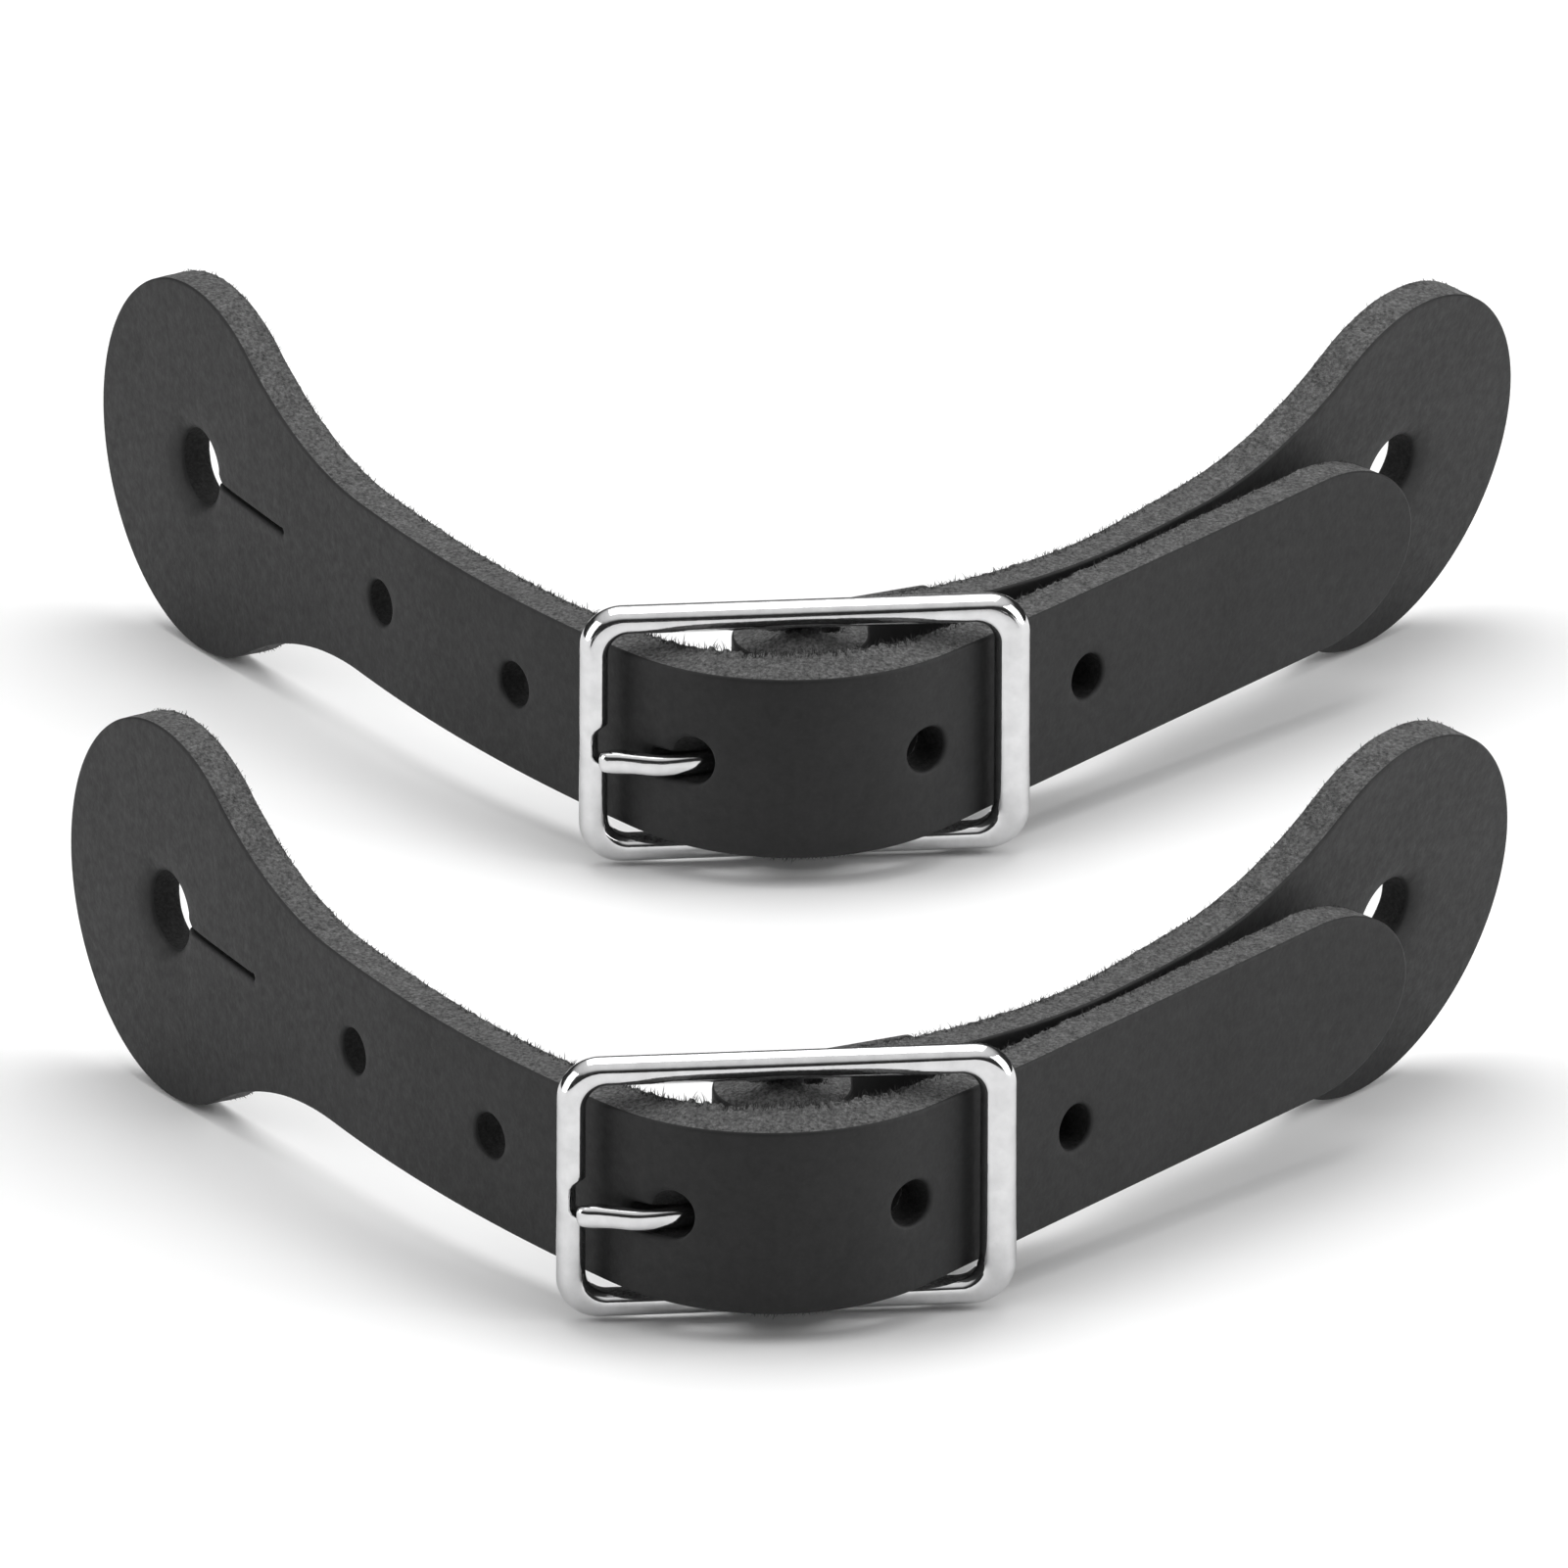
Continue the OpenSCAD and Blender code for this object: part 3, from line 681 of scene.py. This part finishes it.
def frame_mesh():
    """The rectangular ring, with a section that is rounded most on its outer edge."""
    left, right = FRAME_RIGHT - FRAME_W, FRAME_RIGHT
    z0, z1 = FRAME_Z - FRAME_H / 2, FRAME_Z + FRAME_H / 2
    corners = ((right, z1, 0), (left, z1, 90), (left, z0, 180), (right, z0, 270))
    outer, inner = [], []
    n_side, n_corner = ((40, 22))

    def corner_points(cx, cz, a0, r, bx, bz):
        """A rounded corner, bx and bz inside the frame's corner at cx, cz."""
        sx, sz = (-1 if a0 in (0, 270) else 1), (-1 if a0 in (0, 90) else 1)
        return [(cx + sx * bx + sx * r + r * math.cos(math.radians(a0 + 90 * k / n_corner)),
                 cz + sz * bz + sz * r + r * math.sin(math.radians(a0 + 90 * k / n_corner)))
                for k in range(n_corner + 1)]

    for cx, cz, a0 in corners:
        bar = FAR_BAR_W if cx == right else TIP_BAR_W
        outer.append(corner_points(cx, cz, a0, CORNER_R, 0, 0))
        inner.append(corner_points(cx, cz, a0, INNER_CORNER_R, bar, RAIL_H))
    ring_out, ring_in = [], []
    for k in range(4):
        ring_out += outer[k]
        ring_in += inner[k]
        a, b = outer[k][-1], outer[(k + 1) % 4][0]
        c, d = inner[k][-1], inner[(k + 1) % 4][0]
        for q in range(1, n_side):
            f = q / n_side
            ring_out.append((a[0] + (b[0] - a[0]) * f, a[1] + (b[1] - a[1]) * f))
            ring_in.append((c[0] + (d[0] - c[0]) * f, c[1] + (d[1] - c[1]) * f))
    rings = []
    radii = (1.28, 0.95, 0.7, 0.8)     # outer front, inner front, inner back, outer back
    half_t = FRAME_T / 2
    n_arc = 7
    for (ox, oz), (ix, iz) in zip(ring_out, ring_in):
        if ix < 0:                     # the notch where the tongue's tip rests
            edge = 0.35
            f = np.clip((REST_H / 2 + edge - abs(iz)) / (2 * edge), 0, 1)
            ix -= REST_W * float(ease(f))
        w = math.hypot(ix - ox, iz - oz)
        ux, uz = (ix - ox) / w, (iz - oz) / w
        section = []
        for (cu, cv, a0), r in zip(((0, -1, 180), (1, -1, 270), (1, 1, 0), (0, 1, 90)), radii):
            r = min(r, 0.48 * w)
            for k in range(n_arc + 1):
                a = math.radians(a0 + 90 * k / n_arc)
                section.append(((r if cu == 0 else w - r) + r * math.cos(a),
                                cv * (half_t - r) + r * math.sin(a)))
        # a gentle crown on the front face
        ring = []
        for u, v in section:
            crown = CROWN * (1 - (2 * u / w - 1) ** 2) if v < 0 else 0
            ring.append((ox + ux * u, FRAME_Y + max(v - crown + CROWN * (v < 0), -half_t), oz + uz * u))
        rings.append(ring)
    return solid("buckle_frame", rings, closed_along=True)


def lathe(name, profile):
    """A solid turned about Z from (r, z) points that start and end on the axis."""
    n = 48
    bm = bmesh.new()
    rows = []
    for r, z in profile:
        if r < 1e-6:
            rows.append([bm.verts.new(Vector((0, 0, z)) * MM)])
        else:
            turned = [(r * math.cos(math.tau * k / n), r * math.sin(math.tau * k / n), z) for k in range(n)]
            rows.append([bm.verts.new(Vector(v) * MM) for v in turned])
    for ra, rb in zip(rows, rows[1:]):
        for i in range(n):
            j = (i + 1) % n
            if len(ra) == 1:
                bm.faces.new((ra[0], rb[i], rb[j]))
            elif len(rb) == 1:
                bm.faces.new((ra[i], ra[j], rb[0]))
            else:
                bm.faces.new((ra[i], ra[j], rb[j], rb[i]))
    bmesh.ops.recalc_face_normals(bm, faces=bm.faces)
    return finished(bm, name, 50)


def spline(points, n):
    """A Catmull-Rom curve through the points, with n samples between each two."""
    p = [np.array(v, float) for v in points]
    p = [2 * p[0] - p[1]] + p + [2 * p[-1] - p[-2]]
    out = []
    for i in range(1, len(p) - 2):
        for k in range(n):
            t = k / n
            a, b, c, d = p[i - 1], p[i], p[i + 1], p[i + 2]
            out.append(0.5 * (2 * b + (c - a) * t + (2 * a - 5 * b + 4 * c - d) * t * t
                              + (3 * b - a - 3 * c + d) * t ** 3))
    out.append(p[-2])
    return np.array(out)


ROUND_L = 1.3                         # length of the tongue's rounded end
SQUARENESS = 0.75                     # 1 is a round section, and less is squarer


def tongue_mesh():
    """The prong with a soft square section, narrowed at its ends, and its ring round the bar."""
    line = spline(TONGUE_LINE, 9)
    d = np.gradient(line, axis=0)
    d /= np.linalg.norm(d, axis=1)[:, None]
    run = np.concatenate([[0], np.cumsum(np.linalg.norm(np.diff(line, axis=0), axis=1))])
    left = run[-1] - run
    rings = []
    n = 28
    for k in range(len(line)):
        # rounded off over its last bit, a little slimmer past the middle and fuller just before the tip
        tip = math.sqrt(max(0.0, 1 - max(0.0, 1 - left[k] / ROUND_L) ** 2)) if left[k] < ROUND_L else 1.0
        tip = max(tip, 0.08)
        slim = 1 - 0.10 * min(1, max(0, (run[k] - 8) / 6)) + 0.06 * math.exp(-((left[k] - 2.0) / 1.2) ** 2)
        a = TONGUE_W / 2 * slim * (0.55 + 0.45 * tip if tip > 0.1 else 0.35)
        b = TONGUE_T / 2 * slim * tip
        nx, ny = -d[k][1], d[k][0]
        ring = []
        for m in range(n):
            t = math.tau * m / n
            cz = math.copysign(abs(math.cos(t)) ** SQUARENESS, math.cos(t)) * a
            cn = math.copysign(abs(math.sin(t)) ** SQUARENESS, math.sin(t)) * b
            ring.append((line[k][0] + nx * cn, line[k][1] + ny * cn, TONGUE_Z + cz))
        rings.append(ring)
    shank = solid("tongue_shank", rings)
    bore, h, c = BAR_R + RING_GAP, TONGUE_W / 2, 0.35
    section = [(bore + 0.1, -h), (RING_R - c, -h), (RING_R - 0.1, -h + 0.1), (RING_R, -h + c),
               (RING_R, h - c), (RING_R - 0.1, h - 0.1), (RING_R - c, h),
               (bore + 0.1, h), (bore, h - 0.1), (bore, -h + 0.1)]
    n = 64
    turned = []
    for k in range(n):
        a = math.tau * k / n
        turned.append([(LOOP_X + r * math.cos(a), LOOP_Y + r * math.sin(a), TONGUE_Z + z)
                       for r, z in section])
    ring = solid("tongue_ring", turned, closed_along=True)
    bm = bmesh.new()
    bm.from_mesh(shank)
    bm.from_mesh(ring)
    bm.to_mesh(shank)
    bm.free()
    bpy.data.meshes.remove(ring)
    shank.shade_smooth()
    shank.set_sharp_from_angle(angle=math.radians(50))
    shank.name = "tongue"
    return shank


def on_line(line, s):
    """The matrix of the place at s on a strap's grain face: X along, Y from grain to flesh."""
    x, y, h, _ = line.at(s)
    return Matrix.Translation(Vector((x, y, 0)) * MM) @ Matrix.Rotation(h, 4, "Z")


frame_skin = frame_mesh()
tongue_skin = tongue_mesh()
rivet_at = on_line(short_line, s_rivet) @ Matrix.Rotation(math.radians(-90), 4, "X")
POST_TOP = SEAT + HEAD_H / 2
post_skin = lathe("rivet_post", [
    (0, -HEAD_H), (1.9, -HEAD_H), (2.7, -HEAD_H + 0.12), (HEAD_R - 0.1, -HEAD_H + 0.42), (HEAD_R, -0.2),
    (HEAD_R - 0.1, -0.02), (RIVET_R, -0.02), (RIVET_R, POST_TOP - 0.1), (RIVET_R - 0.15, POST_TOP),
    (0, POST_TOP)])
cap_skin = lathe("rivet_cap", [
    (0, POST_TOP + 0.05), (RIVET_R + 0.02, POST_TOP + 0.05), (RIVET_R + 0.02, SEAT), (HEAD_R - 0.15, SEAT),
    (HEAD_R, SEAT + 0.15), (HEAD_R - 0.12, SEAT + 0.4), (2.6, SEAT + 0.72), (1.6, SEAT + HEAD_H - 0.04),
    (0, SEAT + HEAD_H)])


# ---- Materials ----

def set_stops(ramp, stops):
    """Sets a new colour ramp's stops: positions with greys or colours."""
    while len(ramp.elements) < len(stops):
        ramp.elements.new(0.5)
    for e, (position, c) in zip(ramp.elements, stops):
        e.position = position
        e.color = (c, c, c, 1) if isinstance(c, float) else (*c, 1)


class Nodes:
    """Short names for building a node material."""

    def __init__(self, name):
        self.mat = bpy.data.materials.new(name)
        self.mat.use_nodes = True
        self.tree = self.mat.node_tree
        self.shader = self.tree.nodes["Principled BSDF"]
        self.coord = self.tree.nodes.new("ShaderNodeTexCoord").outputs["Object"]

    def link(self, a, b):
        self.tree.links.new(a, b)

    def noise(self, scale, detail, rough=0.6):
        node = self.tree.nodes.new("ShaderNodeTexNoise")
        node.inputs["Scale"].default_value = scale
        node.inputs["Detail"].default_value = detail
        node.inputs["Roughness"].default_value = rough
        self.link(self.coord, node.inputs["Vector"])
        return node.outputs["Fac"]

    def cells(self, scale):
        node = self.tree.nodes.new("ShaderNodeTexVoronoi")
        node.feature = "SMOOTH_F1"
        node.inputs["Scale"].default_value = scale
        self.link(self.coord, node.inputs["Vector"])
        return node.outputs["Distance"]

    def ramp(self, source, stops):
        node = self.tree.nodes.new("ShaderNodeValToRGB")
        set_stops(node.color_ramp, stops)
        self.link(source, node.inputs["Fac"])
        return node.outputs["Color"]

    def multiply(self, a, b, fac):
        node = self.tree.nodes.new("ShaderNodeMix")
        node.data_type = "RGBA"
        node.blend_type = "MULTIPLY"
        node.inputs["Factor"].default_value = fac
        self.link(a, node.inputs["A"])
        self.link(b, node.inputs["B"])
        return node.outputs["Result"]

    def bump(self, height, strength, distance, under=None):
        node = self.tree.nodes.new("ShaderNodeBump")
        node.inputs["Strength"].default_value = strength
        node.inputs["Distance"].default_value = distance
        self.link(height, node.inputs["Height"])
        if under:
            self.link(under, node.inputs["Normal"])
        return node.outputs["Normal"]

    def set(self, **values):
        for key, value in values.items():
            self.shader.inputs[key.replace("_", " ")].default_value = value


def grain_leather():
    """Smooth black leather with a fine grain and slow waves."""
    m = Nodes("leather_grain")
    tone = m.ramp(m.noise(60, 3), [(0.3, (0.010, 0.010, 0.0102)), (0.7, (0.016, 0.016, 0.0163))])
    specks = m.ramp(m.noise(2600, 2), [(0.35, 0.82), (0.6, 1.0), (0.78, 1.3)])
    m.link(m.multiply(tone, specks, 0.6), m.shader.inputs["Base Color"])
    m.link(m.ramp(m.noise(900, 3), [(0.3, 0.52), (0.7, 0.66)]), m.shader.inputs["Roughness"])
    fine = m.bump(m.cells(2200), 0.25, 0.00008)
    wide = m.bump(m.noise(420, 5), 0.22, 0.00016, fine)
    m.link(m.bump(m.noise(45, 2), 0.12, 0.0012, wide), m.shader.inputs["Normal"])
    m.set(Specular_IOR_Level=0.3)
    return m.mat


def raw_leather(name, dark, light, rough_bump):
    """Cut or split leather, with short fibres."""
    m = Nodes(name)
    fibre = m.noise(2400, 6, 0.75)
    blotch = m.noise(700, 4, 0.7)
    between = tuple((a + b) / 2 for a, b in zip(dark, light))
    tone = m.ramp(fibre, [(0.34, dark), (0.52, between), (0.68, light)])
    patches = m.ramp(blotch, [(0.3, 0.62), (0.7, 1.22)])
    m.link(m.multiply(tone, patches, 0.8), m.shader.inputs["Base Color"])
    deep = m.bump(blotch, rough_bump, 0.0004)
    m.link(m.bump(fibre, 0.8, 0.00028, deep), m.shader.inputs["Normal"])
    m.set(Roughness=0.9, Specular_IOR_Level=0.2)
    return m.mat


def bright_metal():
    """Bright plating, faintly uneven."""
    m = Nodes("bright_plate")
    tone = m.ramp(m.noise(500, 4), [(0.3, (0.58, 0.58, 0.585)), (0.7, (0.68, 0.68, 0.685))])
    m.link(tone, m.shader.inputs["Base Color"])
    m.link(m.ramp(m.noise(900, 5, 0.7), [(0.35, 0.06), (0.7, 0.15)]), m.shader.inputs["Roughness"])
    wide = m.bump(m.noise(160, 3), 0.10, 0.0006)
    m.link(m.bump(m.noise(1800, 3), 0.06, 0.0001, wide), m.shader.inputs["Normal"])
    m.set(Metallic=1.0)
    return m.mat


def plain_metal(name, low, high, dull):
    """Unplated metal between two greys, dull being its least roughness."""
    m = Nodes(name)
    m.link(m.ramp(m.noise(800, 4), [(0.3, (low, low, low * 1.03)), (0.7, (high, high, high * 1.03))]),
           m.shader.inputs["Base Color"])
    m.link(m.ramp(m.noise(1500, 4), [(0.3, dull), (0.7, dull + 0.14)]), m.shader.inputs["Roughness"])
    m.link(m.bump(m.noise(2200, 3), 0.1, 0.0001), m.shader.inputs["Normal"])
    m.set(Metallic=1.0)
    return m.mat


GRAIN = grain_leather()
EDGE = raw_leather("leather_cut_edge", (0.030, 0.030, 0.030), (0.20, 0.20, 0.20), 0.7)
FLESH = raw_leather("leather_flesh_side", (0.026, 0.026, 0.026), (0.13, 0.13, 0.13), 0.9)
# Hole walls: the same raw cut leather as the outer edge, with much darker greys that are painted shade inside
# the holes and slots
HOLE = raw_leather("leather_hole_wall_painted_shade", (0.008, 0.008, 0.008), (0.030, 0.030, 0.030), 0.5)
FIBRE = raw_leather("leather_fibres", (0.020, 0.020, 0.020), (0.075, 0.075, 0.075), 0.2)
PLATE = bright_metal()
STEEL = plain_metal("plain_steel", 0.42, 0.56, 0.28)
DARK_STEEL = plain_metal("dull_bar_steel", 0.06, 0.11, 0.45)

for mesh in (long_mesh, short_mesh):
    for mat in (GRAIN, EDGE, FLESH, HOLE, FIBRE):     # in the order of the slots' numbers
        mesh.materials.append(mat)
# The turn is baked into the meshes, so that their bounding boxes are tight
for mesh in (long_mesh, short_mesh, frame_skin, tongue_skin):
    mesh.transform(TURN)
for mesh in (post_skin, cap_skin):
    mesh.transform(TURN @ rivet_at)
for mesh, mat in ((frame_skin, PLATE), (tongue_skin, PLATE), (post_skin, STEEL), (cap_skin, STEEL)):
    mesh.materials.append(mat)


# ---- Pieces ----

def piece(name, mesh, matrix, body, node):
    """One visual piece: the CAD node that it replaces, and the body that it rides."""
    obj = bpy.data.objects.new(name, mesh)
    bpy.context.scene.collection.objects.link(obj)
    obj.matrix_world = matrix
    bpy.context.view_layer.update()
    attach(obj, body)
    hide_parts(node)


for side, sign in SIDES:
    place = stand(sign)
    piece(f"{side}_long_leather", long_mesh, place, f"{side}_buckle", f"{side}_long_strap")
    piece(f"{side}_short_leather", short_mesh, place, f"{side}_short", f"{side}_short_strap")
    piece(f"{side}_frame", frame_skin, place, f"{side}_buckle", f"{side}_buckle_frame")
    piece(f"{side}_prong", tongue_skin, place, f"{side}_tongue_piece", f"{side}_tongue")
    piece(f"{side}_post", post_skin, place, f"{side}_short", f"{side}_rivet_post")
    piece(f"{side}_cap", cap_skin, place, f"{side}_short", f"{side}_rivet_cap")
    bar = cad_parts[f"{side}_centre_bar"]       # drawn with the CAD's own shape
    for slot in bar.material_slots:
        slot.material = DARK_STEEL


# ---- Floor, light and camera ----

def floor_paint():
    m = Nodes("pale_floor")
    m.set(Base_Color=(0.93, 0.93, 0.93, 1), Roughness=0.9, Specular_IOR_Level=0.1)
    return m.mat


# In metres from here on
FLOOR_Z = -0.0003                     # just under the lowest point of the leather
FLOOR_HALF = 6.0
LIGHT_SIZE = 0.9


def lay_floor():
    corners = ((-1, -1), (1, -1), (1, 1), (-1, 1))
    bm = bmesh.new()
    bm.faces.new([bm.verts.new(Vector((x * FLOOR_HALF, y * FLOOR_HALF, FLOOR_Z))) for x, y in corners])
    mesh = bpy.data.meshes.new("floor")
    bm.to_mesh(mesh)
    bm.free()
    mesh.materials.append(floor_paint())
    obj = bpy.data.objects.new("floor", mesh)
    bpy.context.scene.collection.objects.link(obj)


def area_light(name, at, aim, power):
    data = bpy.data.lights.new(name, "AREA")
    data.energy = power
    data.size = LIGHT_SIZE
    obj = bpy.data.objects.new(name, data)
    obj.location = at
    obj.rotation_euler = (Vector(aim) - Vector(at)).to_track_quat("-Z", "Y").to_euler()
    bpy.context.scene.collection.objects.link(obj)


# Greys of the sky by the height of the direction, from 0 at the horizon to 1 overhead
SKY = ((0.0, 0.03), (0.5, 0.04), (0.75, 0.8), (1.0, 1.0))


def soft_sky():
    """A dim horizon, which the metal's dark lines reflect, and a bright sky overhead."""
    world = bpy.data.worlds.new("soft")
    bpy.context.scene.world = world
    world.use_nodes = True
    tree = world.node_tree
    coord = tree.nodes.new("ShaderNodeTexCoord").outputs["Generated"]
    split = tree.nodes.new("ShaderNodeSeparateXYZ")
    tree.links.new(coord, split.inputs[0])
    ramp = tree.nodes.new("ShaderNodeValToRGB")
    set_stops(ramp.color_ramp, SKY)
    tree.links.new(split.outputs["Z"], ramp.inputs["Fac"])
    tree.links.new(ramp.outputs["Color"], tree.nodes["Background"].inputs["Color"])
    tree.nodes["Background"].inputs["Strength"].default_value = 1.0


lay_floor()
area_light("above", (0.0, 0.3, 1.0), (0, 0, 0), 6)
area_light("left", (-1.1, -0.2, 0.42), (0, 0, 0.02), 6)
area_light("right", (1.1, -0.2, 0.42), (0, 0, 0.02), 9)
soft_sky()

# A long lens keeps the rear strap nearly as large as the front one.
LENS, SENSOR_W = 1500, 36             # in millimetres
DISTANCE, CLIP_END = 6.847, 60
ELEVATION = math.radians(18.5)
aim = Vector((-1.39, 32.97, 8.86)) * MM
camera = bpy.data.cameras.new("camera")
camera.lens = LENS
camera.sensor_width = SENSOR_W
camera.clip_end = CLIP_END
cam = bpy.data.objects.new("camera", camera)
towards = Vector((0, -math.cos(ELEVATION), math.sin(ELEVATION)))
cam.location = aim + towards * DISTANCE
cam.rotation_euler = (-towards).to_track_quat("-Z", "Y").to_euler()
bpy.context.scene.collection.objects.link(cam)
bpy.context.scene.camera = cam

bpy.context.scene.view_settings.view_transform = "Standard"
